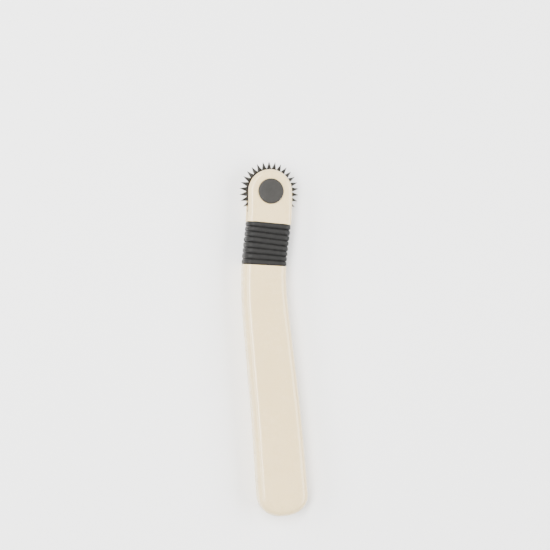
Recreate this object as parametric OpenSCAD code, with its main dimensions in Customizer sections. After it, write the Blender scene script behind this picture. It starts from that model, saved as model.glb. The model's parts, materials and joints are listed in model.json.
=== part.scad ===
// Tracing wheel: toothed steel disc in a round-ended fork at the end of a bent plastic handle.
// Millimetres, +Z up. It lies on its rear face: +X towards the wheel, axle along Z.

/* [Overall] */
// Length from the wheel's front tooth to the end of the handle
length = 140; // [120:1:170]
// Thickness of the handle, and of the head over both caps
thick = 11; // [10.5:0.5:14]
// Radius of the rounded long edges of the handle
edge_r = 3; // [2.5:0.1:4]

/* [Handle] */
// Width of the fork, and diameter of its round end
fork_w = 17.4; // [15:0.1:20]
// Width at the lower edge of the grip
waist_w = 17.2; // [15:0.1:19]
// Width near the end of the handle
tail_w = 19.9; // [17:0.1:24]
// Slope that the axis would reach under the grip, in degrees, before the bend takes it back
grip_slope = 8.4; // [0:0.2:12]
// Slope of the axis below the bend, in degrees
bend_slope = 6; // [0:0.2:12]
// Slope of the axis at the free end, in degrees
tail_slope = 4.4; // [0:0.2:12]
// Length over which the free end is rounded
tail_round = 8.5; // [5:0.5:12]
// Wall of the hollow handle
wall = 1.8; // [1.2:0.1:3]

/* [Grip] */
// Distance from the axle to the grip's upper edge
grip_start = 12.4; // [12:0.1:16]
// Number of ribs round the grip
ribs = 8; // [4:1:14]
// Distance from one rib to the next
rib_pitch = 2.1; // [1.5:0.05:4]
// Depth of the grooves between the ribs
rib_depth = 0.6; // [0.2:0.05:1]
// Depth by which the neck is stepped in to seat the sleeve
sleeve_t = 1.9; // [1.2:0.1:2]

/* [Head] */
// Distance between the inner faces of the two cheeks
fork_gap = 4.6; // [4.4:0.1:5]
// Thickness of one cheek
cheek_t = 2.4; // [2:0.1:2.6]
// Rounding of a cheek's outer edge
cheek_r = 1.8; // [0.4:0.1:2]
// Diameter of the round caps over the axle
cap_d = 9.9; // [8:0.1:12]
// Diameter of the axle pin
pin_d = 3; // [2:0.1:4]

/* [Wheel] */
// Number of teeth
teeth = 30; // [20:1:48]
// Diameter over the tooth tips
wheel_d = 23.7; // [18:0.1:30]
// Height of a tooth
tooth_h = 2.6; // [1.5:0.1:3]
// Thickness of the steel disc
disc_t = 1; // [0.6:0.1:1.6]

/* [Hidden] */
eps = 0.01;
mid = thick / 2;                              // parting plane, and plane of the wheel
wheel_r = wheel_d / 2;
root_r = wheel_r - tooth_h;
cheek_in = mid + fork_gap / 2;
cheek_out = cheek_in + cheek_t;
grip_end = grip_start + ribs * rib_pitch;
tail_x = length - wheel_r;                    // distance from the axle to the end of the handle
slot_r = wheel_r + 1.5;
run_fit = 0.05;                               // radial clearance of the hub on the pin
side_play = 0.15;                             // between the hub and each washer
washer_t = 0.5;
washer_d = 7;
hub_bore_d = pin_d + 2 * run_fit;
hub_half = fork_gap / 2 - washer_t - side_play;
boss_d = 7.6;
flange_d = 11;
flange_t = 0.9;
spigot_d = 5.2;                               // cap's collar, pressed in the cheek
pin_half = mid - 0.9;
locator_d = 3;
locator_h = 2.4;
locator_at = [20.5, 46, 82, 112];             // distances from the axle of the locating pins
rib_at = [58, 96];                            // cross walls inside the handle
cavity_from = grip_end + 3.5;
cavity_to = tail_x - 9;
arc_n = 6;
step = 0.5;

// Smooth rise from 0 to 1 between a and b
function ease(t, a, b) = let (q = min(1, max(0, (t - a) / (b - a)))) q * q * (3 - 2 * q);
// Angle of the axis at distance s behind the axle
function slope(s) = grip_slope * ease(s, 2, 21) - (grip_slope + bend_slope) * ease(s, 13, 52)
    + (bend_slope - tail_slope) * ease(s, 72, 106);
// Sideways position of the axis, summed in short steps
axis_y = [for (s = 0, y = 0; s <= length; y = y + step * tan(slope(s + step / 2)), s = s + step) y];
function axis_at(s) = let (i = floor(s / step), f = s / step - i)
    axis_y[i] + f * (axis_y[i + 1] - axis_y[i]);
// Half of the handle's width before its end is rounded
function flare(t) = (t + sin(90 * t)) / 2;
function half_w(s) = (fork_w + (waist_w - fork_w) * ease(s, 9, 33)
    + (tail_w - waist_w) * flare(min(1, max(0, (s - 34) / 90)))) / 2;
function end_k(s, p) = let (t = max(0, (s - (tail_x - tail_round)) / tail_round))
    pow(max(0, 1 - pow(t, p)), 1 / p);
function full_w(s) = half_w(s) * end_k(s, 2.3);
function full_h(s) = mid * end_k(s, 6);

// Moves a section point [u, z] to its place at distance s along the axis
function place(s, u, z) = [-s + u * sin(slope(s)), axis_at(s) + u * cos(slope(s)), z];

// Upper half of the section: flat base at z0, rounded shoulders, flat top at z1
function half_section(w, z0, z1, r) = let (q = min(r, w - eps, z1 - z0 - eps)) concat(
    [[-w, z0]],
    [for (i = [0:arc_n]) let (a = 180 - 90 * i / arc_n) [-w + q + q * cos(a), z1 - q + q * sin(a)]],
    [for (i = [0:arc_n]) let (a = 90 - 90 * i / arc_n) [w - q + q * cos(a), z1 - q + q * sin(a)]],
    [[w, z0]]);

// Closed section inset by d all round
function ring_section(s, d) = let (h = half_section(half_w(s) - d, mid, thick - d, edge_r - d * 0.6))
    concat([for (i = [1:len(h) - 2]) h[i]], [for (i = [len(h) - 2:-1:1]) [h[i][0], thick - h[i][1]]]);

// Joins rings of points, each with the same count, into one closed solid
module loft(rings, wrap = false) {
    m = len(rings[0]);
    n = len(rings);
    pts = [for (r = rings) for (p = r) p];
    sides = [for (i = [0:n - (wrap ? 1 : 2)]) for (j = [0:m - 1])
        let (a = i * m + j, b = i * m + (j + 1) % m, c = ((i + 1) % n) * m + j,
             d = ((i + 1) % n) * m + (j + 1) % m)
        each [[a, c, b], [b, c, d]]];
    ends = wrap ? [] : [[for (j = [0:m - 1]) j], [for (j = [m - 1:-1:0]) (n - 1) * m + j]];
    polyhedron(points = pts, faces = concat(sides, ends), convexity = 8);
}

// Rows of half-sections for the fork, the neck under the grip, and the handle: [s, w, z0, z1, r]
function steps(a, b, n) = [for (i = [0:n]) a + (b - a) * i / n];
neck_top = thick - sleeve_t;
neck_r = edge_r - sleeve_t * 0.6;
neck_at = [for (i = [0:ribs]) grip_start + i * rib_pitch];
fork_rows = [for (s = steps(0, grip_start, 6)) [s, half_w(s), cheek_in, cheek_out, cheek_r]];
neck_root = 1;                                // the neck runs this far into the handle
neck_rows = [for (s = concat(neck_at, [grip_end + neck_root]))
    [s, half_w(s) - sleeve_t, mid, neck_top, neck_r]];
handle_at = concat(steps(grip_end, tail_x - tail_round, 22),
    [for (t = steps(8, 88, 8)) tail_x - tail_round * (1 - sin(t))]);
handle_rows = [for (s = handle_at) [s, full_w(s), mid, mid + full_h(s), edge_r]];
function rings_of(rows) = [for (r = rows)
    [for (p = half_section(r[1], r[2], r[3], r[4])) place(r[0], p[0], p[1])]];

// Hollow of one handle half between two distances from the axle
function hollow_rings(from, to, n) = [for (s = steps(from, to, n))
    [for (p = half_section(half_w(s) - wall, mid - 1, thick - wall, edge_r - wall))
        place(s, p[0], p[1])]];

// Outline of the disc: flat-tipped pointed teeth with tight valleys
tip_half = 0.06;
valley_half = [0.13, 0.05];
valley_lift = 0.07;
pitch_a = 360 / teeth;
function polar(r, a, off) = [r * cos(a) - off * sin(a), r * sin(a) + off * cos(a)];
disc_outline = [for (i = [0:teeth - 1]) let (a = i * pitch_a, v = a + pitch_a / 2) each [
    polar(wheel_r, a, -tip_half), polar(wheel_r, a, tip_half),
    polar(root_r + valley_lift, v, -valley_half[0]), polar(root_r, v, -valley_half[1]),
    polar(root_r, v, valley_half[1]), polar(root_r + valley_lift, v, valley_half[0])]];

// Shift that puts the middle of the outline over the origin
outline = concat(disc_outline, [for (r = rings_of(concat(fork_rows, handle_rows))) for (p = r) p]);
all_x = [for (p = outline) p[0]];
all_y = [for (p = outline) p[1]];
pivot = [-(max(all_x) + min(all_x)) / 2, -(max(all_y) + min(all_y)) / 2, 0];

module at_pivot() { translate(pivot) children(); }
module flipped() { translate([0, 0, thick]) mirror([0, 0, 1]) children(); }
module on_axis(s, z) { translate([-s, axis_at(s), z]) children(); }

module half_body() {
    q = cheek_r;
    w = fork_w / 2;
    difference() {
        union() {
            rotate([0, 0, -90]) rotate_extrude(angle = 180, $fn = 96) polygon(concat(
                [[0, cheek_in], [w, cheek_in]],
                [for (i = [0:arc_n]) let (a = 90 * i / arc_n)
                    [w - q + q * cos(a), cheek_out - q + q * sin(a)]],
                [[0, cheek_out]]));
            for (rows = [fork_rows, neck_rows, handle_rows]) loft(rings_of(rows));
        }
        translate([0, 0, mid - 1]) cylinder(r = slot_r, h = cheek_in - mid + 1, $fn = 128);
        translate([0, 0, cheek_in - 1]) cylinder(d = spigot_d, h = cheek_t + 2, $fn = 64);
        difference() {
            union() {
                loft(hollow_rings(cavity_from, rib_at[0] - 0.7, 8));
                loft(hollow_rings(rib_at[0] + 0.7, rib_at[1] - 0.7, 10));
                loft(hollow_rings(rib_at[1] + 0.7, cavity_to, 8));
            }
            for (s = locator_at)
                on_axis(s, mid - 2) cylinder(d = locator_d + 3, h = thick, $fn = 48);
        }
    }
}

module front_handle_shell() {
    color("ivory") at_pivot() {
        half_body();
        for (s = locator_at)
            on_axis(s, mid - locator_h) cylinder(d = locator_d, h = locator_h + 1, $fn = 48);
    }
}

module rear_handle_shell() {
    color("ivory") at_pivot() difference() {
        flipped() half_body();
        for (s = locator_at)
            on_axis(s, mid - locator_h - 0.4)
                cylinder(d = locator_d + 0.1, h = locator_h + 1, $fn = 48);
    }
}

module grip_sleeve() {
    // Five stations across each rib: groove, flank, crest, flank, and the next groove
    dips = [1, 0.35, 0, 0.35];
    outer = concat([for (i = [0:ribs * 4 - 1]) [grip_start + i * rib_pitch / 4, dips[i % 4]]],
        [[grip_end, 1]]);
    color("dimgray") at_pivot() loft(concat(
        [for (o = outer) [for (p = ring_section(o[0], o[1] * rib_depth)) place(o[0], p[0], p[1])]],
        [for (i = [ribs:-1:0]) [for (p = ring_section(neck_at[i], sleeve_t))
            place(neck_at[i], p[0], p[1])]]), wrap = true);
}

module tracing_wheel() {
    color("slategray") at_pivot() translate([0, 0, mid - disc_t / 2]) difference() {
        linear_extrude(disc_t) polygon(disc_outline);
        translate([0, 0, -1]) cylinder(d = boss_d, h = disc_t + 2, $fn = 64);
    }
}

module wheel_hub() {
    b = hub_bore_d / 2;
    f = disc_t / 2;
    color("black") at_pivot() translate([0, 0, mid]) rotate_extrude($fn = 96) polygon([
        [b, -hub_half], [washer_d / 2, -hub_half], [washer_d / 2, -f - flange_t],
        [flange_d / 2, -f - flange_t], [flange_d / 2, -f], [boss_d / 2, -f],
        [boss_d / 2, f], [flange_d / 2, f], [flange_d / 2, f + flange_t],
        [washer_d / 2, f + flange_t], [washer_d / 2, hub_half], [b, hub_half]]);
}

module axle_pin() {
    c = 0.3;
    color("silver") at_pivot() translate([0, 0, mid]) {
        cylinder(d = pin_d, h = 2 * (pin_half - c), center = true, $fn = 64);
        translate([0, 0, pin_half - c]) cylinder(d1 = pin_d, d2 = pin_d - 2 * c, h = c, $fn = 64);
        translate([0, 0, -pin_half]) cylinder(d2 = pin_d, d1 = pin_d - 2 * c, h = c, $fn = 64);
    }
}

// Cap with a collar pressed into the cheek and a blind bore for the pin; q rounds its rim
module pivot_cap(q, crown) {
    r = cap_d / 2;
    low = cheek_in + 0.3;
    top = thick - crown;
    rotate_extrude($fn = 96) polygon(concat(
        [[pin_d / 2, low], [spigot_d / 2, low], [spigot_d / 2, cheek_out], [r, cheek_out]],
        [for (i = [0:4]) let (a = 90 * i / 4) [r - q + q * cos(a), top - q + q * sin(a)]],
        crown > 0 ? [[r * 0.45, thick - crown * 0.25]] : [],
        [[0, thick], [0, mid + pin_half], [pin_d / 2, mid + pin_half]]));
}

module front_pivot_cap() { color("gray") at_pivot() pivot_cap(0.6, 0.25); }
module rear_pivot_cap() { color("gray") at_pivot() flipped() pivot_cap(0.4, 0); }

module spacer_washers() {
    color("white") at_pivot() for (z = [cheek_in - washer_t, mid - fork_gap / 2])
        translate([0, 0, z]) difference() {
            cylinder(d = washer_d, h = washer_t, $fn = 64);
            translate([0, 0, -1]) cylinder(d = hub_bore_d, h = washer_t + 2, $fn = 64);
        }
}

front_handle_shell();
rear_handle_shell();
grip_sleeve();
tracing_wheel();
wheel_hub();
axle_pin();
front_pivot_cap();
rear_pivot_cap();
spacer_washers();
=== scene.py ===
"""Tracing wheel: a toothed steel disc in a round-ended fork at the end of a bent plastic handle.

Every size is in metres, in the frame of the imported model: +X runs along the tool towards the
disc, +Z along the axle, and the tool lies on its rear face.
"""
import json
import math

import bmesh
import bpy
from bpy.props import FloatProperty, FloatVectorProperty, IntProperty, PointerProperty
from mathutils import Matrix, Vector


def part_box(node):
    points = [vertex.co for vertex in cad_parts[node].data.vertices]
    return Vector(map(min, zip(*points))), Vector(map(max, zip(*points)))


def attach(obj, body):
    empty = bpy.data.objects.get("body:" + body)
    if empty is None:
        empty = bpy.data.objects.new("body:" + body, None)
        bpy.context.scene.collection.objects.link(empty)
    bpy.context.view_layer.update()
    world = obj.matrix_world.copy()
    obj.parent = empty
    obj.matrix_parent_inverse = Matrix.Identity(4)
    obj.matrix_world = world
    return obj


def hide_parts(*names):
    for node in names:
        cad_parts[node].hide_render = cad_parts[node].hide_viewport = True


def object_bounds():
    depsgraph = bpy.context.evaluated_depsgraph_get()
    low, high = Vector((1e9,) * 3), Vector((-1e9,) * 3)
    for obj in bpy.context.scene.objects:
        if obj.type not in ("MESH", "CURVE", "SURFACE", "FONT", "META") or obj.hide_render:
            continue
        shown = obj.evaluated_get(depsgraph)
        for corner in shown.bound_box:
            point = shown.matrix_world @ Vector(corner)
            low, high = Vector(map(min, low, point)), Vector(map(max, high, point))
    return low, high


bl_info = {
    "name": "Tracing Wheel",
    "version": (1, 0, 0),
    "blender": (4, 5, 0),
    "location": "3D View > Sidebar > Tracing Wheel",
    "description": "Builds a hand tracing wheel, its finishes and a plain studio round it",
    "category": "Object",
}

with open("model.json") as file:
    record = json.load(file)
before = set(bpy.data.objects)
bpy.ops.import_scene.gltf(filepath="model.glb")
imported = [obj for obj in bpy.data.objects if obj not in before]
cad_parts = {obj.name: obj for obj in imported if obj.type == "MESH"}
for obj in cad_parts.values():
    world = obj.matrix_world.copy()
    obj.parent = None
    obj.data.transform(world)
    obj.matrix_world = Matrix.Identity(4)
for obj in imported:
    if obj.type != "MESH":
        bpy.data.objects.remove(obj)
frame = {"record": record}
CAD_BOX = [list(corner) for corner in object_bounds()]
MM = 0.001


def turned_size(node):
    """Radius, lowest z and highest z of a node that is round about the axle."""
    low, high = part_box(node)
    return (high.x - low.x) / 2, low.z, high.z


PIVOT = Vector(frame["record"]["behaviour"]["joints"][0]["pos_m"])
MID = PIVOT.z                                       # parting plane, and plane of the disc
THICK = CAD_BOX[1][2]
TAIL = PIVOT.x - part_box("front_handle_shell")[0].x  # from the axle to the free end
DISC_RADIUS, DISC_LOW, DISC_HIGH = turned_size("tracing_wheel")
CAP_RADIUS, CAP_LOW, _ = turned_size("front_pivot_cap")
HUB_RADIUS, HUB_LOW, HUB_HIGH = turned_size("wheel_hub")
PIN_RADIUS, PIN_LOW, PIN_HIGH = turned_size("axle_pin")
WASHER_RADIUS, WASHER_LOW, WASHER_HIGH = turned_size("spacer_washers")
DISC_HALF = (DISC_HIGH - DISC_LOW) / 2
SPIGOT_RADIUS = 2.6 * MM                            # of a cap, in the hole of its cheek
BOSS_RADIUS = 3.8 * MM                              # of the hub, in the bore of the disc
FLANGE_THICK = 0.9 * MM
WASHER_THICK = 0.5 * MM
PIN_PLAY = 0.05 * MM                                # between the pin and what turns on it
CAP_RECESS = 0.3 * MM                               # depth of the seat in the cheek
SUPERELLIPSE = 2.3                                  # power that shapes the free end
RIB_POWER = 0.35                                    # the lower, the flatter the ribs of the sleeve
CORNER_SHRINK = 0.6                                 # drop of a corner's radius per inset
FLOOR_RADIUS = 4
FLOOR_DROP = 0.05 * MM                              # so that the tool's rear face shows no flicker
SENSOR = 36                                         # of the camera, mm
SKY = (1, 0.995, 0.98, 1)
SKY_STRENGTH = 0.42
SOFTBOXES = {                                       # place, size along and across, and power
    "left_softbox": ((0.1, 0.6, 0.4), (0.9, 0.25), 8),
    "right_softbox": ((0.0, -0.62, 0.5), (0.9, 0.5), 15),
    "top_softbox": ((0.15, 0.34, 0.85), (0.9, 0.2), 22),
}


# Settings

class HandleSettings(bpy.types.PropertyGroup):
    fork_width: FloatProperty(
        name="Fork width", description="Width of the fork and diameter of its round end",
        default=17.4 * MM, unit="LENGTH")
    waist_width: FloatProperty(
        name="Waist width", description="Width of the handle just below the grip",
        default=17.2 * MM, unit="LENGTH")
    tail_width: FloatProperty(
        name="Tail width", description="Width of the handle near its free end",
        default=19.9 * MM, unit="LENGTH")
    tail_round: FloatProperty(
        name="Tail rounding", description="Length over which the free end is rounded",
        default=8.5 * MM, unit="LENGTH")
    edge_radius: FloatProperty(
        name="Edge radius", description="Rounding of the handle's long edges",
        default=3.0 * MM, unit="LENGTH")
    crown: FloatProperty(
        name="Crown", description="How far the broad faces rise from their edges to the middle",
        default=0.12 * MM, unit="LENGTH")
    parting: FloatProperty(
        name="Parting line", description="Chamfer of each half where the two meet",
        default=0.1 * MM, unit="LENGTH")
    cheek_thickness: FloatProperty(
        name="Cheek thickness", description="Thickness of each side of the fork",
        default=2.4 * MM, unit="LENGTH")
    cheek_radius: FloatProperty(
        name="Cheek rounding", description="Rounding of the outer edge of each cheek",
        default=1.8 * MM, unit="LENGTH")
    fork_gap: FloatProperty(
        name="Fork gap", description="Distance between the inner faces of the cheeks",
        default=4.6 * MM, unit="LENGTH")
    colour: FloatVectorProperty(
        name="Plastic", description="Ivory of the moulded handle",
        default=(0.745, 0.58, 0.3), subtype="COLOR", min=0, max=1)


class GripSettings(bpy.types.PropertyGroup):
    start: FloatProperty(
        name="Start", description="Distance from the axle to the sleeve's upper edge",
        default=12.4 * MM, unit="LENGTH")
    ribs: IntProperty(name="Ribs", description="Number of ribs round the sleeve", default=8, min=2)
    pitch: FloatProperty(
        name="Pitch", description="Distance from one rib to the next",
        default=2.1 * MM, unit="LENGTH")
    depth: FloatProperty(
        name="Groove depth", description="Depth of the grooves between the ribs",
        default=0.6 * MM, unit="LENGTH")
    wall: FloatProperty(
        name="Wall", description="Depth by which the neck is stepped in under the sleeve",
        default=1.9 * MM, unit="LENGTH")
    colour: FloatVectorProperty(
        name="Rubber", description="Black of the ribbed sleeve",
        default=(0.0066, 0.0064, 0.0062), subtype="COLOR", min=0, max=1)


class DiscSettings(bpy.types.PropertyGroup):
    teeth: IntProperty(name="Teeth", description="Number of teeth", default=30, min=12)
    tooth_height: FloatProperty(
        name="Tooth height", description="From the root circle to the tips",
        default=2.6 * MM, unit="LENGTH")
    tip_width: FloatProperty(
        name="Tip width", description="Width left on the point of a tooth",
        default=0.12 * MM, unit="LENGTH")
    bevel: FloatProperty(
        name="Ground bevel", description="How far the faces stop short of the tips",
        default=0.55 * MM, unit="LENGTH")
    colour: FloatVectorProperty(
        name="Steel", description="Dark oxide finish of the disc",
        default=(0.022, 0.021, 0.019), subtype="COLOR", min=0, max=1)


class CapSettings(bpy.types.PropertyGroup):
    rim: FloatProperty(
        name="Rim rounding", description="Rounding of the front cap's rim",
        default=0.35 * MM, unit="LENGTH")
    seat: FloatProperty(
        name="Seat gap", description="Fine gap between a cap and its recess",
        default=0.07 * MM, unit="LENGTH")
    colour: FloatVectorProperty(
        name="Cap", description="Dark grey of the round caps",
        default=(0.0155, 0.0145, 0.0125), subtype="COLOR", min=0, max=1)


class StageSettings(bpy.types.PropertyGroup):
    tilt: FloatProperty(
        name="Camera tilt", description="How far the camera leans to the tool's left",
        default=math.radians(10), subtype="ANGLE")
    field: FloatProperty(
        name="Field", description="Width that the camera sees at the tool",
        default=0.2159, unit="LENGTH")
    distance: FloatProperty(
        name="Distance", description="From the camera to the tool", default=0.6, unit="LENGTH")
    ahead: FloatProperty(
        name="Head above centre", description="How far the axle lies above the picture's centre",
        default=0.0330, unit="LENGTH")
    aside: FloatProperty(
        name="Head left of centre", description="How far the cap lies left of the picture's centre",
        default=0.0014, unit="LENGTH")
    floor: FloatVectorProperty(
        name="Floor", description="Pale floor", default=(0.93, 0.928, 0.92),
        subtype="COLOR", min=0, max=1)


# The handle's axis and outline

def ease(t, a, b):
    """0 up to a, 1 from b on, and a smooth step between them."""
    q = min(1, max(0, (t - a) / (b - a)))
    return q * q * (3 - 2 * q)


class Spine:
    """The bent axis of the handle, from the axle back to the free end, and the width along it."""

    step = 0.25 * MM
    turns = ((8.4, 2, 21), (-14.4, 13, 52), (1.6, 72, 106))  # degrees, from and to in mm
    narrowing = (9, 33)                                      # fork width to waist width, mm
    flare = (34, 124)                                        # waist width to tail width, mm

    def __init__(self, handle, grip):
        self.handle, self.grip = handle, grip
        self.grip_end = grip.start + grip.ribs * grip.pitch
        self.offsets = [0.0]
        while len(self.offsets) * self.step < TAIL + 2 * self.step:
            s = (len(self.offsets) - 0.5) * self.step
            self.offsets.append(self.offsets[-1] + self.step * math.tan(self.slope(s)))

    def slope(self, s):
        return math.radians(sum(turn * ease(s / MM, a, b) for turn, a, b in self.turns))

    def offset(self, s):
        place = max(0, s) / self.step
        i = int(place)
        return self.offsets[i] + (place - i) * (self.offsets[i + 1] - self.offsets[i])

    def at(self, s, across):
        """The place in plan at distance s behind the axle and that far to the +Y side."""
        a = self.slope(s)
        return Vector((PIVOT.x - s + across * math.sin(a),
                       PIVOT.y + self.offset(s) + across * math.cos(a)))

    def half_width(self, s):
        h = self.handle
        start, end = self.flare
        t = min(1, max(0, (s / MM - start) / (end - start)))
        flared = (t + math.sin(math.pi / 2 * t)) / 2
        return (h.fork_width + (h.waist_width - h.fork_width) * ease(s / MM, *self.narrowing)
                + (h.tail_width - h.waist_width) * flared) / 2

    def rounded(self, s):
        """Half of the width with the free end rounded off."""
        t = max(0, (s - (TAIL - self.handle.tail_round)) / self.handle.tail_round)
        return self.half_width(s) * max(0, 1 - t ** SUPERELLIPSE) ** (1 / SUPERELLIPSE)


def steps(a, b, n):
    """n + 1 even values from a to b."""
    return [a + (b - a) * i / n for i in range(n + 1)]


def inward(points):
    """The unit normal at each point of an open outline, turned to the left of its direction."""
    normals = []
    for i in range(len(points)):
        along = (points[min(i + 1, len(points) - 1)] - points[max(i - 1, 0)]).normalized()
        normals.append(Vector((-along.y, along.x)))
    return normals


# Mesh helpers

def skin(bm, rings, wrap=False, close_end=True):
    """Joins rings of points, each with the same count, by quads, and closes the ends."""
    rows = [[bm.verts.new(p) for p in ring] for ring in rings]
    count = len(rows[0])
    last = len(rows) if wrap else len(rows) - 1
    for i in range(last):
        a, b = rows[i], rows[(i + 1) % len(rows)]
        for j in range(count):
            k = (j + 1) % count
            bm.faces.new((a[j], a[k], b[k], b[j]))
    if not wrap:
        bm.faces.new(rows[0][::-1])
        if close_end:
            bm.faces.new(rows[-1])


def lathe(bm, profile, segments=128):
    """Turns a closed profile of (radius, z) points about the axle."""
    rings = []
    for i in range(segments):
        a = 2 * math.pi * i / segments
        rings.append([(PIVOT.x + r * math.cos(a), PIVOT.y + r * math.sin(a), z) for r, z in profile])
    skin(bm, rings, wrap=True)


def fillet(corner, towards_a, towards_b, radius, n=6):
    """Points that round a square corner of a profile, from the a side to the b side."""
    a = (Vector(towards_a) - Vector(corner)).normalized() * radius
    b = (Vector(towards_b) - Vector(corner)).normalized() * radius
    middle = Vector(corner) + a + b
    return [tuple(middle - b * math.cos(t) - a * math.sin(t))
            for t in (math.pi / 2 * i / n for i in range(n + 1))]


def rounded_profile(corners):
    """A closed profile from (radius, z, rounding) corners."""
    points = []
    for i, (r, z, q) in enumerate(corners):
        before, after = corners[i - 1], corners[(i + 1) % len(corners)]
        points += fillet((r, z), before[:2], after[:2], q) if q else [(r, z)]
    return points


def add_piece(name, bm, material, body, slot, *nodes, sharp=35):
    """Makes the object, shades it smooth between its sharp edges and ties it to the frame."""
    bmesh.ops.remove_doubles(bm, verts=bm.verts, dist=1e-7)
    bmesh.ops.dissolve_degenerate(bm, edges=bm.edges, dist=1e-8)
    loose = [edge for edge in bm.edges if not edge.link_faces]
    bmesh.ops.delete(bm, geom=loose, context="EDGES")
    bmesh.ops.recalc_face_normals(bm, faces=bm.faces)
    for face in bm.faces:
        face.smooth = True
    for edge in bm.edges:
        if len(edge.link_faces) == 2 and edge.calc_face_angle(0) > math.radians(sharp):
            edge.smooth = False
    mesh = bpy.data.meshes.new(name)
    bm.to_mesh(mesh)
    bm.free()
    mesh.materials.append(material)
    piece = bpy.data.objects.new(name, mesh)
    bpy.context.scene.collection.objects.link(piece)
    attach(piece, body)
    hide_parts(*nodes)
    return piece


# Node helpers and the effects that several finishes share

def add(tree, kind, inputs=None, **properties):
    """Adds a node, sets its properties, and fills or links its inputs."""
    node = tree.nodes.new(kind)
    for key, value in properties.items():
        setattr(node, key, value)
    for key, value in (inputs or {}).items():
        if isinstance(value, bpy.types.NodeSocket):
            tree.links.new(value, node.inputs[key])
        else:
            node.inputs[key].default_value = value
    return node


def maths(tree, operation, a, b=0.0, clamp=False):
    return add(tree, "ShaderNodeMath", {0: a, 1: b}, operation=operation, use_clamp=clamp).outputs[0]


def weighted(tree, a, weight_a, b, weight_b):
    """The sum of two values, each multiplied by its weight."""
    return maths(tree, "ADD", maths(tree, "MULTIPLY", a, weight_a), maths(tree, "MULTIPLY", b, weight_b))


def blend(tree, factor, a, b):
    """Colour a where factor is 0, and b where it is 1."""
    a = a if isinstance(a, bpy.types.NodeSocket) else (*a, 1)
    b = b if isinstance(b, bpy.types.NodeSocket) else (*b, 1)
    return add(tree, "ShaderNodeMix", {0: factor, 6: a, 7: b}, data_type="RGBA").outputs[2]


def layer(tree, base, mask, amount, colour):
    """Lays a colour over the base where the mask shows, up to the given amount."""
    return blend(tree, maths(tree, "MULTIPLY", mask, amount), base, colour)


def remap(tree, value, low, high, to_low=0.0, to_high=1.0):
    return add(tree, "ShaderNodeMapRange", {
        "Value": value, "From Min": low, "From Max": high,
        "To Min": to_low, "To Max": to_high}).outputs["Result"]


def noise(tree, place, scale, detail=3.0, roughness=0.5, distortion=0.0):
    return add(tree, "ShaderNodeTexNoise", {
        "Vector": place, "Scale": scale, "Detail": detail, "Roughness": roughness,
        "Distortion": distortion}).outputs["Fac"]


def object_place(tree):
    return add(tree, "ShaderNodeTexCoord").outputs["Object"]


def effect(name, inputs, outputs, build):
    """A shader node group, made once, with float inputs of given defaults and float outputs."""
    group = bpy.data.node_groups.get(name)
    if group:
        return group
    group = bpy.data.node_groups.new(name, "ShaderNodeTree")
    for label, value in inputs.items():
        socket = group.interface.new_socket(label, in_out="INPUT", socket_type="NodeSocketFloat")
        socket.default_value = value
    for label in outputs:
        group.interface.new_socket(label, in_out="OUTPUT", socket_type="NodeSocketFloat")
    given = group.nodes.new("NodeGroupInput").outputs
    result = group.nodes.new("NodeGroupOutput").inputs
    for label, value in build(group, given).items():
        group.links.new(value, result[label])
    return group


def use(tree, group, **values):
    """Places an effect in a material with its own values, and returns its outputs."""
    node = tree.nodes.new("ShaderNodeGroup")
    node.node_tree = group
    for label, value in values.items():
        node.inputs[label.replace("_", " ").capitalize()].default_value = value
    return node.outputs


def moulded_grain():
    """Fine spark-eroded texture of a mould, with a slow unevenness under it."""
    def build(tree, given):
        place = object_place(tree)
        cells = add(tree, "ShaderNodeTexVoronoi", {"Vector": place, "Scale": given["Scale"]},
                    feature="SMOOTH_F1").outputs["Distance"]
        fine = noise(tree, place, maths(tree, "MULTIPLY", given["Scale"], 2.3), 2)
        slow = noise(tree, place, given["Sink"], 1)
        fine = weighted(tree, cells, 0.5, fine, 0.5)
        height = weighted(tree, fine, 0.12, slow, 0.88)
        return {"Height": height, "Fine": fine}
    return effect("Moulded Grain", {"Scale": 5200.0, "Sink": 90.0}, ["Height", "Fine"], build)


def mottle():
    """Cloudy variation of a colour, in two sizes."""
    def build(tree, given):
        place = object_place(tree)
        broad = noise(tree, place, given["Scale"], 3, 0.6)
        small = noise(tree, place, maths(tree, "MULTIPLY", given["Scale"], 7), 4, 0.6)
        both = weighted(tree, broad, 0.65, small, 0.35)
        return {"Mask": remap(tree, both, 0.3, 0.7)}
    return effect("Mottle", {"Scale": 60.0}, ["Mask"], build)


def scuffs():
    """Long faint scratches in two directions, broken up so that they come in patches."""
    def build(tree, given):
        place = object_place(tree)
        lines = []
        for angle, stretch in ((0.35, 26), (-0.6, 34)):
            turned = add(tree, "ShaderNodeMapping", {
                "Vector": place, "Rotation": (0, 0, angle), "Scale": (1, stretch, stretch)})
            line = noise(tree, turned.outputs[0], given["Scale"], 2, 0.4)
            lines.append(remap(tree, line, 0.69, 0.76))
        both = maths(tree, "MAXIMUM", *lines)
        patch = remap(tree, noise(tree, place, 55.0, 2), 0.45, 0.7)
        mask = maths(tree, "MULTIPLY", maths(tree, "MULTIPLY", both, patch), given["Amount"], True)
        return {"Mask": mask}
    return effect("Scuffs", {"Scale": 110.0, "Amount": 1.0}, ["Mask"], build)


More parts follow.
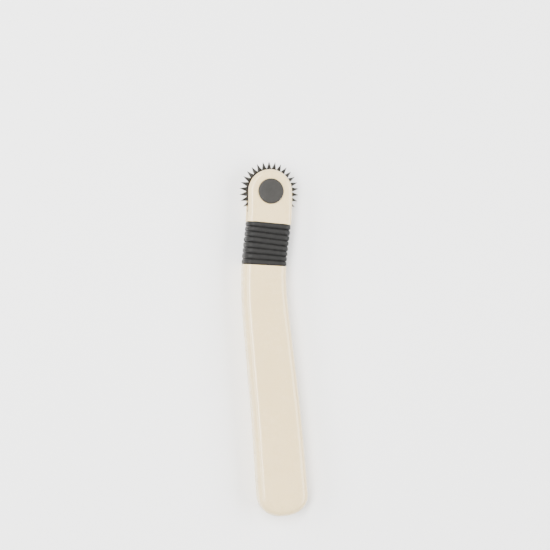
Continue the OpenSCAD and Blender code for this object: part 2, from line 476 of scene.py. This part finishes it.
def edge_wear():
    """Outer edges that handling has rubbed, and inner corners that hold dirt."""
    def build(tree, given):
        bend = add(tree, "ShaderNodeNewGeometry").outputs["Pointiness"]
        patch = noise(tree, object_place(tree), given["Scale"], 4, 0.65)
        out = remap(tree, bend, 0.505, 0.56)
        dirt = remap(tree, bend, 0.495, 0.44)
        rubbed = maths(tree, "MULTIPLY", out, remap(tree, patch, 0.35, 0.65))
        held = maths(tree, "MULTIPLY", dirt, remap(tree, patch, 0.3, 0.6))
        return {"Rubbed": maths(tree, "MULTIPLY", rubbed, given["Amount"], True),
                "Held": maths(tree, "MULTIPLY", held, given["Amount"], True)}
    return effect("Edge Wear", {"Scale": 700.0, "Amount": 1.0}, ["Rubbed", "Held"], build)


def dust():
    """Specks and a thin film that settle on faces that look up."""
    def build(tree, given):
        place = object_place(tree)
        up = add(tree, "ShaderNodeSeparateXYZ", {
            0: add(tree, "ShaderNodeNewGeometry").outputs["Normal"]}).outputs["Z"]
        specks = remap(tree, noise(tree, place, 2600.0, 2, 0.7), 0.66, 0.74)
        film = remap(tree, noise(tree, place, given["Scale"], 4, 0.6), 0.4, 0.75)
        both = maths(tree, "MAXIMUM", maths(tree, "MULTIPLY", film, 0.45), specks)
        settled = maths(tree, "MULTIPLY", both, remap(tree, up, 0.1, 0.9))
        return {"Mask": maths(tree, "MULTIPLY", settled, given["Amount"], True)}
    return effect("Dust", {"Scale": 260.0, "Amount": 1.0}, ["Mask"], build)


def turned_marks():
    """Circular tool marks about the axle, and the distance from the axle."""
    def build(tree, given):
        place = add(tree, "ShaderNodeVectorMath", {0: object_place(tree), 1: (PIVOT.x, PIVOT.y, 0)},
                    operation="SUBTRACT").outputs[0]
        flat = add(tree, "ShaderNodeVectorMath", {0: place, 1: (1, 1, 0)},
                   operation="MULTIPLY").outputs[0]
        radius = add(tree, "ShaderNodeVectorMath", {0: flat}, operation="LENGTH").outputs["Value"]
        ring = add(tree, "ShaderNodeTexNoise", {
            "W": radius, "Scale": given["Scale"], "Detail": 4.0, "Roughness": 0.7},
            noise_dimensions="1D").outputs["Fac"]
        patch = noise(tree, place, 320.0, 3)
        marks = maths(tree, "MULTIPLY", ring, remap(tree, patch, 0.3, 0.7, 0.85, 1.0))
        return {"Marks": marks, "Radius": radius}
    return effect("Turned Marks", {"Scale": 4200.0}, ["Marks", "Radius"], build)


def finish(name, build):
    """A material of one Principled shader, whose sockets build fills; made once."""
    material = bpy.data.materials.get(name)
    if material:
        return material
    material = bpy.data.materials.new(name)
    material.use_nodes = True
    tree = material.node_tree
    shader = next(n for n in tree.nodes if n.type == "BSDF_PRINCIPLED")
    for socket, value in build(tree).items():
        if isinstance(value, bpy.types.NodeSocket):
            tree.links.new(value, shader.inputs[socket])
        else:
            shader.inputs[socket].default_value = value
    return material


def bump(tree, height, distance):
    return add(tree, "ShaderNodeBump", {"Height": height, "Distance": distance}).outputs["Normal"]


def tinted(colour, factor):
    """A colour multiplied channel by channel."""
    return tuple(min(1, c * f) for c, f in zip(colour, factor))


# Finishes

def ivory_plastic(colour):
    """Semi-gloss moulding with a fine grain, faint scratches and dirt in its corners."""
    def build(tree):
        cloud = use(tree, mottle(), scale=45)["Mask"]
        grain = use(tree, moulded_grain())
        scratch = use(tree, scuffs(), amount=0.8)["Mask"]
        wear = use(tree, edge_wear(), amount=0.8)
        settled = use(tree, dust(), amount=0.35)["Mask"]
        base = blend(tree, cloud, tinted(colour, (0.965, 0.955, 0.93)),
                     tinted(colour, (1.02, 1.02, 1.02)))
        base = layer(tree, base, wear["Rubbed"], 0.5, tinted(colour, (1.08, 1.08, 1.1)))
        base = layer(tree, base, wear["Held"], 0.4, tinted(colour, (0.66, 0.63, 0.6)))
        base = layer(tree, base, scratch, 0.22, tinted(colour, (0.78, 0.74, 0.68)))
        base = layer(tree, base, settled, 0.3, (0.7, 0.68, 0.64))
        rough = maths(tree, "ADD", remap(tree, cloud, 0, 1, 0.2, 0.28),
                      maths(tree, "MULTIPLY", scratch, 0.18))
        rough = maths(tree, "ADD", rough, maths(tree, "MULTIPLY", grain["Fine"], 0.06))
        height = maths(tree, "SUBTRACT", grain["Height"], maths(tree, "MULTIPLY", scratch, 0.12))
        return {"Base Color": base, "Roughness": rough, "Normal": bump(tree, height, 0.00012),
                "IOR": 1.52, "Subsurface Weight": 0.15, "Subsurface Radius": (1.0, 0.92, 0.8),
                "Subsurface Scale": 0.0012, "Coat Weight": 0.4, "Coat Roughness": 0.07}
    return finish("Ivory Moulded Plastic", build)


def black_rubber(colour):
    """Matt rubber, rubbed a little paler on the ribs."""
    def build(tree):
        cloud = use(tree, mottle(), scale=120)["Mask"]
        grain = use(tree, moulded_grain(), scale=3600, sink=420)
        wear = use(tree, edge_wear(), amount=1.0, scale=900)
        settled = use(tree, dust(), amount=0.55, scale=420)["Mask"]
        base = blend(tree, cloud, tinted(colour, (0.75, 0.75, 0.75)), tinted(colour, (1.35, 1.33, 1.3)))
        base = layer(tree, base, wear["Rubbed"], 0.45, (0.03, 0.03, 0.029))
        base = layer(tree, base, wear["Held"], 0.3, (0.05, 0.048, 0.043))
        base = layer(tree, base, settled, 0.06, (0.3, 0.29, 0.27))
        rough = maths(tree, "SUBTRACT", remap(tree, cloud, 0, 1, 0.52, 0.68),
                      maths(tree, "MULTIPLY", wear["Rubbed"], 0.14))
        rough = maths(tree, "ADD", rough, maths(tree, "MULTIPLY", settled, 0.15))
        return {"Base Color": base, "Roughness": rough,
                "Normal": bump(tree, grain["Height"], 0.00007), "IOR": 1.5,
                "Specular IOR Level": 0.2}
    return finish("Black Ribbed Rubber", build)


def dark_steel(colour, root):
    """Turned steel under a dark oxide that thins from the root circle out to the tips."""
    def build(tree):
        turned = use(tree, turned_marks(), scale=3800)
        cloud = use(tree, mottle(), scale=70)["Mask"]
        wear = use(tree, edge_wear(), amount=0.5, scale=420)
        scratch = use(tree, scuffs(), amount=1.0, scale=260)["Mask"]
        tip = remap(tree, turned["Radius"], root + 0.6 * MM, DISC_RADIUS)
        bright = maths(tree, "MAXIMUM", maths(tree, "MULTIPLY", tip, 0.3),
                       maths(tree, "MULTIPLY", wear["Rubbed"], 0.6))
        base = blend(tree, cloud, tinted(colour, (0.86, 0.88, 0.9)), tinted(colour, (1.14, 1.12, 1.1)))
        base = layer(tree, base, turned["Marks"], 0.4, tinted(colour, (1.7, 1.66, 1.6)))
        base = blend(tree, bright, base, (0.16, 0.155, 0.145))
        base = layer(tree, base, scratch, 0.5, (0.2, 0.195, 0.185))
        rough = maths(tree, "ADD", remap(tree, cloud, 0, 1, 0.36, 0.42),
                      maths(tree, "MULTIPLY", bright, -0.1))
        rough = maths(tree, "ADD", rough, maths(tree, "MULTIPLY", turned["Marks"], 0.08))
        height = maths(tree, "SUBTRACT", turned["Marks"], maths(tree, "MULTIPLY", scratch, 0.4))
        return {"Base Color": base, "Roughness": rough, "Metallic": 1.0,
                "Normal": bump(tree, height, 0.00002)}
    return finish("Dark Oxide Steel", build)


def grey_cap_plastic(colour):
    """Hard plastic with faint turned rings."""
    def build(tree):
        turned = use(tree, turned_marks(), scale=2600)
        grain = use(tree, moulded_grain(), scale=6200, sink=300)
        cloud = use(tree, mottle(), scale=160)["Mask"]
        wear = use(tree, edge_wear(), amount=1.0, scale=1200)
        settled = use(tree, dust(), amount=0.5, scale=520)["Mask"]
        scratch = use(tree, scuffs(), amount=0.9, scale=190)["Mask"]
        base = blend(tree, cloud, tinted(colour, (0.88, 0.88, 0.88)),
                     tinted(colour, (1.14, 1.13, 1.12)))
        base = layer(tree, base, wear["Rubbed"], 0.5, tinted(colour, (2.2, 2.2, 2.2)))
        base = layer(tree, base, scratch, 0.3, tinted(colour, (2.4, 2.4, 2.4)))
        base = layer(tree, base, settled, 0.06, (0.3, 0.29, 0.28))
        rough = maths(tree, "ADD", remap(tree, cloud, 0, 1, 0.44, 0.54),
                      maths(tree, "MULTIPLY", settled, 0.15))
        height = weighted(tree, grain["Height"], 0.7, turned["Marks"], 0.3)
        return {"Base Color": base, "Roughness": rough, "Normal": bump(tree, height, 0.00004),
                "IOR": 1.5, "Specular IOR Level": 0.3}
    return finish("Grey Cap Plastic", build)


def acetal():
    """Smooth black bearing plastic."""
    def build(tree):
        turned = use(tree, turned_marks(), scale=2400)
        cloud = use(tree, mottle(), scale=300)["Mask"]
        wear = use(tree, edge_wear(), amount=1.0, scale=1500)
        base = blend(tree, cloud, (0.016, 0.016, 0.017), (0.03, 0.03, 0.031))
        base = layer(tree, base, wear["Rubbed"], 0.5, (0.08, 0.08, 0.08))
        rough = remap(tree, cloud, 0, 1, 0.3, 0.42)
        return {"Base Color": base, "Roughness": rough, "Normal": bump(tree, turned["Marks"], 0.00002)}
    return finish("Black Acetal", build)


def nylon():
    """Milky white washer plastic."""
    def build(tree):
        grain = use(tree, moulded_grain(), scale=6800, sink=700)
        cloud = use(tree, mottle(), scale=400)["Mask"]
        base = blend(tree, cloud, (0.72, 0.71, 0.66), (0.83, 0.825, 0.79))
        rough = remap(tree, cloud, 0, 1, 0.36, 0.46)
        return {"Base Color": base, "Roughness": rough, "Normal": bump(tree, grain["Height"], 0.00003)}
    return finish("Natural Nylon", build)


def ground_steel():
    """Bright steel with fine grinding rings."""
    def build(tree):
        turned = use(tree, turned_marks(), scale=5200)
        cloud = use(tree, mottle(), scale=420)["Mask"]
        scratch = use(tree, scuffs(), amount=1.0, scale=420)["Mask"]
        base = blend(tree, cloud, (0.5, 0.5, 0.5), (0.62, 0.62, 0.61))
        base = layer(tree, base, scratch, 0.4, (0.3, 0.29, 0.28))
        rough = remap(tree, cloud, 0, 1, 0.2, 0.34)
        return {"Base Color": base, "Roughness": rough, "Metallic": 1.0,
                "Normal": bump(tree, turned["Marks"], 0.00001)}
    return finish("Ground Steel", build)


# Pieces

def handle_ring(left, right, n_left, n_right, full, h, arc=8, across=12):
    """One crosswise strip of a handle half: up one side, over the crowned face, down the other.

    The crown fades where the face between the two rounded edges is narrower than full.
    """
    r, c = h.edge_radius, h.parting
    shoulder = THICK - h.crown

    def side(p, n):
        up = [(c, MID), (0.02 * MM, MID + c * 0.6), (0, MID + c)]
        up += [(0, z) for z in steps(MID + c, shoulder - r, 3)[1:]]
        up += [(r - r * math.cos(a), shoulder - r + r * math.sin(a))
               for a in steps(0, math.pi / 2, arc)[1:]]
        return [(*(p + n * d), z) for d, z in up]

    a, b = side(left, n_left), side(right, n_right)
    first, last = Vector(a[-1][:2]), Vector(b[-1][:2])
    rise = h.crown * min(1, (last - first).length / full) ** 2
    over = [(*first.lerp(last, t), shoulder + rise * (1 - (2 * t - 1) ** 2))
            for t in steps(0, 1, across)[1:-1]]
    return a + over + b[::-1]


def handle_mesh(bm, spine, h):
    """A handle half from the grip to the free end, closed along the parting plane."""
    along = steps(spine.grip_end, TAIL - h.tail_round, 72)
    along += [TAIL - h.tail_round * (1 - math.sin(a)) for a in steps(0, math.pi / 2, 26)[1:]]
    left = [spine.at(s, spine.rounded(s)) for s in along]
    right = [spine.at(s, -spine.rounded(s)) for s in along]
    outline = left + right[-2::-1]
    normals = inward(outline)
    full = 2 * (spine.half_width(along[0]) - h.edge_radius)
    skin(bm, [handle_ring(left[i], right[i], normals[i], normals[-1 - i], full, h)
              for i in range(len(along))], close_end=False)


def arch(w, z0, z1, r, arc=8, across=6):
    """Half of a section as (across, z) points: 2w wide, from z0 to z1, with shoulders of radius r."""
    quarter = [(r - r * math.cos(a), z1 - r + r * math.sin(a)) for a in steps(0, math.pi / 2, arc)]
    left = [(-w + d, z) for d, z in quarter]
    right = [(w - d, z) for d, z in quarter[::-1]]
    flat = [(u, z1) for u in steps(-w + r, w - r, across)[1:-1]]
    return [(-w, z0)] + left + flat + right + [(w, z0)]


def neck_mesh(bm, spine, h, grip):
    """The stepped-in part of a handle half that the sleeve covers."""
    rings = []
    for s in steps(grip.start, spine.grip_end + 0.5 * MM, 16):
        section = arch(spine.half_width(s) - grip.wall, MID, THICK - grip.wall,
                       h.edge_radius - CORNER_SHRINK * grip.wall)
        rings.append([(*spine.at(s, u), z) for u, z in section])
    skin(bm, rings)


def cheek_mesh(bm, spine, h, grip, recess, hole):
    """One side of the fork: round end, soft outer edge, and a shallow recess that takes the cap."""
    inner = MID + h.fork_gap / 2
    outer = inner + h.cheek_thickness
    q = h.cheek_radius
    chamfer = 0.15 * MM
    lap = 0.1 * MM                                  # reach of the cheek into the sleeve
    side = steps(grip.start + lap, 0, 22)

    def edge(inset, z):
        half = [(s, spine.half_width(s) - inset) for s in side]
        radius = h.fork_width / 2 - inset
        points = [spine.at(s, w) for s, w in half]
        points += [PIVOT.xy + Vector((radius * math.cos(a), radius * math.sin(a)))
                   for a in steps(math.pi / 2, -math.pi / 2, 72)[1:-1]]
        points += [spine.at(s, -w) for s, w in half[::-1]]
        points += [spine.at(side[0], u * half[0][1]) for u in steps(-1, 1, 20)[1:-1]]
        return [(*p, z) for p in points]

    rays = [(Vector(p[:2]) - PIVOT.xy).normalized() for p in edge(q, outer)]

    def circle(radius, z):
        return [(*(PIVOT.xy + ray * radius), z) for ray in rays]

    rings = [circle(hole, inner), edge(chamfer + 0.05 * MM, inner), edge(chamfer, inner),
             edge(0.04 * MM, inner + 0.04 * MM)]
    rings += [edge(0, z) for z in steps(inner + chamfer, outer - q, 2)]
    rings += [edge(q - q * math.cos(a), outer - q + q * math.sin(a))
              for a in steps(0, math.pi / 2, 10)[1:]]
    rings += [edge(q + 0.08 * MM, outer), circle(recess + 0.2 * MM, outer),
              circle(recess + 0.12 * MM, outer), circle(recess + 0.03 * MM, outer - 0.04 * MM),
              circle(recess, outer - 0.12 * MM), circle(recess, outer - CAP_RECESS),
              circle(hole, outer - CAP_RECESS)]
    skin(bm, rings, wrap=True)


def turn_over(bm):
    """Mirrors a half in the parting plane."""
    for v in bm.verts:
        v.co.z = 2 * MID - v.co.z


def sleeve_mesh(bm, spine, h, grip):
    """A tube of rounded ribs with narrow grooves between them."""
    def ring(s, inset):
        upper = arch(spine.half_width(s) - inset, MID, THICK - inset,
                     h.edge_radius - CORNER_SHRINK * inset, arc=9)[1:-1]
        lower = [(u, 2 * MID - z) for u, z in upper[::-1]]
        return [(*spine.at(s, u), z) for u, z in upper + lower]

    per_rib = 14
    outer = []
    for i in range(grip.ribs * per_rib + 1):
        rise = abs(math.sin(math.pi * i / per_rib)) ** RIB_POWER
        outer.append(ring(grip.start + i * grip.pitch / per_rib, grip.depth * (1 - rise)))
    inner = [ring(s, grip.wall) for s in steps(spine.grip_end, grip.start, grip.ribs * 2)]
    skin(bm, outer + inner, wrap=True)


def disc_mesh(bm, disc):
    """The toothed plate, with the teeth ground to a bevel on both faces."""
    root = DISC_RADIUS - disc.tooth_height
    pitch = 2 * math.pi / disc.teeth
    land = 0.14 * MM                                # half the thickness left at the teeth's edges
    valley = 0.13 * MM                              # half the width of a gullet
    lift = 0.07 * MM                                # of the gullet's sides above its bottom

    def spot(r, a, off, z):
        return (PIVOT.x + r * math.cos(a) - off * math.sin(a),
                PIVOT.y + r * math.sin(a) + off * math.cos(a), MID + z)

    def toothed(top, bottom, tip, gullet, z):
        points = []
        for i in range(disc.teeth):
            a = i * pitch
            v = a + pitch / 2
            points += [spot(top, a, off, z) for off in (-tip, tip)]
            points += [spot(bottom + lift, v, -gullet, z)]
            points += [spot(bottom, v, off, z) for off in (-gullet / 2.6, gullet / 2.6)]
            points += [spot(bottom + lift, v, gullet, z)]
        return points

    def full(z):
        return toothed(DISC_RADIUS, root, disc.tip_width / 2, valley, z)

    def ground(z):
        return toothed(DISC_RADIUS - disc.bevel, root - 0.1 * MM, 0.35 * disc.tip_width,
                       valley + 0.09 * MM, z)

    def circle(r, z):
        return [(*(PIVOT.xy + (Vector(p[:2]) - PIVOT.xy).normalized() * r), p[2]) for p in full(z)]

    inner = root - 0.7 * MM
    skin(bm, [circle(BOSS_RADIUS, DISC_HALF), circle(inner, DISC_HALF), ground(DISC_HALF),
              full(land), full(-land), ground(-DISC_HALF), circle(inner, -DISC_HALF),
              circle(BOSS_RADIUS, -DISC_HALF)], wrap=True)


# Operators

class TRACING_WHEEL_OT_handle(bpy.types.Operator):
    """Build both halves of the handle, each with its side of the fork"""
    bl_idname = "tracing_wheel.handle"
    bl_label = "Handle halves"

    def execute(self, context):
        scene = context.scene
        h, grip, caps = scene.tracing_handle, scene.tracing_grip, scene.tracing_caps
        spine = Spine(h, grip)
        for name, node in (("handle_front_half", "front_handle_shell"),
                           ("handle_rear_half", "rear_handle_shell")):
            bm = bmesh.new()
            handle_mesh(bm, spine, h)
            neck_mesh(bm, spine, h, grip)
            cheek_mesh(bm, spine, h, grip, CAP_RADIUS + caps.seat, SPIGOT_RADIUS)
            if node == "rear_handle_shell":
                turn_over(bm)
            add_piece(name, bm, ivory_plastic(h.colour), "handle", "handle_plastic", node)
        return {"FINISHED"}


class TRACING_WHEEL_OT_grip(bpy.types.Operator):
    """Build the ribbed rubber sleeve round the neck"""
    bl_idname = "tracing_wheel.grip"
    bl_label = "Ribbed grip"

    def execute(self, context):
        scene = context.scene
        h, grip = scene.tracing_handle, scene.tracing_grip
        bm = bmesh.new()
        sleeve_mesh(bm, Spine(h, grip), h, grip)
        add_piece("ribbed_grip", bm, black_rubber(grip.colour), "handle", "grip_rubber", "grip_sleeve",
                  sharp=70)
        return {"FINISHED"}


class TRACING_WHEEL_OT_disc(bpy.types.Operator):
    """Build the toothed steel disc"""
    bl_idname = "tracing_wheel.disc"
    bl_label = "Toothed disc"

    def execute(self, context):
        disc = context.scene.tracing_disc
        steel = dark_steel(disc.colour, DISC_RADIUS - disc.tooth_height)
        bm = bmesh.new()
        disc_mesh(bm, disc)
        add_piece("toothed_disc", bm, steel, "wheel", "wheel_steel", "tracing_wheel", sharp=20)
        return {"FINISHED"}


class TRACING_WHEEL_OT_hub(bpy.types.Operator):
    """Build the moulded hub that carries the disc"""
    bl_idname = "tracing_wheel.hub"
    bl_label = "Disc hub"

    def execute(self, context):
        flange = DISC_HALF + FLANGE_THICK
        bore = PIN_RADIUS + PIN_PLAY
        half = (HUB_HIGH - HUB_LOW) / 2
        q = 0.06 * MM
        upper = [(BOSS_RADIUS, DISC_HALF, 0), (HUB_RADIUS, DISC_HALF, q), (HUB_RADIUS, flange, 3 * q),
                 (WASHER_RADIUS, flange, q), (WASHER_RADIUS, half, 2 * q), (bore, half, 2 * q)]
        lower = [(r, -z, q) for r, z, q in upper[::-1]]
        bm = bmesh.new()
        lathe(bm, [(r, MID + z) for r, z in rounded_profile(upper + lower)])
        add_piece("disc_hub", bm, acetal(), "wheel", "hub_plastic", "wheel_hub")
        return {"FINISHED"}


class TRACING_WHEEL_OT_axle(bpy.types.Operator):
    """Build the axle pin and the washers on it"""
    bl_idname = "tracing_wheel.axle"
    bl_label = "Axle and washers"

    def execute(self, context):
        q = 0.25 * MM
        bm = bmesh.new()
        lathe(bm, rounded_profile([(0, PIN_LOW, 0), (PIN_RADIUS, PIN_LOW, q),
                                   (PIN_RADIUS, PIN_HIGH, q), (0, PIN_HIGH, 0)]), 96)
        add_piece("axle_shaft", bm, ground_steel(), "handle", "pin_steel", "axle_pin")
        bore = PIN_RADIUS + PIN_PLAY
        q = 0.08 * MM
        bm = bmesh.new()
        for low in (WASHER_LOW, WASHER_HIGH - WASHER_THICK):
            high = low + WASHER_THICK
            lathe(bm, rounded_profile([(bore, low, q), (WASHER_RADIUS, low, q),
                                       (WASHER_RADIUS, high, q), (bore, high, q)]), 96)
        add_piece("axle_washers", bm, nylon(), "handle", "washer_plastic", "spacer_washers")
        return {"FINISHED"}


class TRACING_WHEEL_OT_caps(bpy.types.Operator):
    """Build the round caps over the two ends of the axle"""
    bl_idname = "tracing_wheel.caps"
    bl_label = "Pivot caps"

    def execute(self, context):
        scene = context.scene
        h, caps = scene.tracing_handle, scene.tracing_caps
        above_seat = 0.02 * MM
        under = MID + h.fork_gap / 2 + h.cheek_thickness - CAP_RECESS + above_seat
        flat = CAP_RADIUS - caps.rim
        for name, node, crown in (("cap_front", "front_pivot_cap", 0.14 * MM),
                                  ("cap_rear", "rear_pivot_cap", 0)):
            profile = [(PIN_RADIUS, CAP_LOW, 0), (SPIGOT_RADIUS, CAP_LOW, 0.1 * MM),
                       (SPIGOT_RADIUS, under, 0), (CAP_RADIUS, under, 0.08 * MM),
                       (CAP_RADIUS, THICK - crown, caps.rim)]
            profile += [(flat * (1 - t), THICK - crown * (1 - t) ** 2, 0) for t in steps(0, 1, 10)[1:]]
            profile += [(0, PIN_HIGH, 0), (PIN_RADIUS, PIN_HIGH, 0)]
            bm = bmesh.new()
            lathe(bm, rounded_profile(profile), 160)
            if node == "rear_pivot_cap":
                turn_over(bm)
            add_piece(name, bm, grey_cap_plastic(caps.colour), "handle", "cap_plastic", node)
        return {"FINISHED"}


class TRACING_WHEEL_OT_stage(bpy.types.Operator):
    """Lay a pale floor, hang soft lights and aim the camera"""
    bl_idname = "tracing_wheel.stage"
    bl_label = "Studio"

    def floor(self, scene, colour):
        bm = bmesh.new()
        bmesh.ops.create_circle(bm, cap_ends=True, segments=96, radius=FLOOR_RADIUS)
        bmesh.ops.translate(bm, verts=bm.verts, vec=(0, 0, -FLOOR_DROP))
        mesh = bpy.data.meshes.new("floor")
        bm.to_mesh(mesh)
        bm.free()

        def build(tree):
            cloud = use(tree, mottle(), scale=9)["Mask"]
            base = blend(tree, cloud, tinted(colour, (0.985, 0.985, 0.985)), tuple(colour))
            return {"Base Color": base, "Roughness": remap(tree, cloud, 0, 1, 0.8, 0.9)}
        mesh.materials.append(finish("Pale Floor", build))
        plane = bpy.data.objects.new("floor", mesh)
        scene.collection.objects.link(plane)

    def light(self, scene, name, place, size, power):
        data = bpy.data.lights.new(name, "AREA")
        data.shape = "RECTANGLE"
        data.size, data.size_y = size
        data.energy = power
        lamp = bpy.data.objects.new(name, data)
        lamp.location = place
        lamp.rotation_euler = (-Vector(place)).to_track_quat("-Z", "Y").to_euler()
        scene.collection.objects.link(lamp)

    def camera(self, scene, stage):
        lean = stage.tilt
        back = Vector((0, math.sin(lean), math.cos(lean)))
        right = Vector((0, -math.cos(lean), math.sin(lean)))
        up = Vector((1, 0, 0))
        cap = Vector((PIVOT.x, PIVOT.y, THICK))
        target = cap - up * stage.ahead + right * stage.aside
        data = bpy.data.cameras.new("camera")
        data.sensor_width = SENSOR
        data.lens = SENSOR * stage.distance / stage.field
        data.clip_start = 0.01
        camera = bpy.data.objects.new("camera", data)
        camera.matrix_world = Matrix.Translation(target + back * stage.distance) @ Matrix(
            (right, up, back)).transposed().to_4x4()
        scene.collection.objects.link(camera)
        scene.camera = camera

    def execute(self, context):
        scene = context.scene
        stage = scene.tracing_stage
        self.floor(scene, stage.floor)
        for name, (place, size, power) in SOFTBOXES.items():
            self.light(scene, name, place, size, power)
        world = bpy.data.worlds.new("studio")
        world.use_nodes = True
        sky = world.node_tree.nodes["Background"]
        sky.inputs["Color"].default_value = SKY
        sky.inputs["Strength"].default_value = SKY_STRENGTH
        scene.world = world
        self.camera(scene, stage)
        return {"FINISHED"}


class TRACING_WHEEL_PT_panel(bpy.types.Panel):
    """Lists the settings and the pieces"""
    bl_idname = "TRACING_WHEEL_PT_panel"
    bl_label = "Tracing Wheel"
    bl_space_type = "VIEW_3D"
    bl_region_type = "UI"
    bl_category = "Tracing Wheel"

    def draw(self, context):
        for key, kind in SETTINGS.items():
            box = self.layout.box()
            for prop in kind.__annotations__:
                box.prop(getattr(context.scene, key), prop)
        for operator in OPERATORS:
            self.layout.operator(operator.bl_idname)


SETTINGS = {
    "tracing_handle": HandleSettings,
    "tracing_grip": GripSettings,
    "tracing_disc": DiscSettings,
    "tracing_caps": CapSettings,
    "tracing_stage": StageSettings,
}
OPERATORS = (
    TRACING_WHEEL_OT_handle,
    TRACING_WHEEL_OT_grip,
    TRACING_WHEEL_OT_disc,
    TRACING_WHEEL_OT_hub,
    TRACING_WHEEL_OT_axle,
    TRACING_WHEEL_OT_caps,
    TRACING_WHEEL_OT_stage,
)
CLASSES = (*SETTINGS.values(), *OPERATORS, TRACING_WHEEL_PT_panel)


def register():
    for cls in CLASSES:
        bpy.utils.register_class(cls)
    for key, kind in SETTINGS.items():
        setattr(bpy.types.Scene, key, PointerProperty(type=kind))


def unregister():
    for key in SETTINGS:
        delattr(bpy.types.Scene, key)
    for cls in reversed(CLASSES):
        bpy.utils.unregister_class(cls)


def main():
    register()
    for operator in OPERATORS:
        group, action = operator.bl_idname.split(".")
        getattr(getattr(bpy.ops, group), action)()


if __name__ == "__main__":
    main()
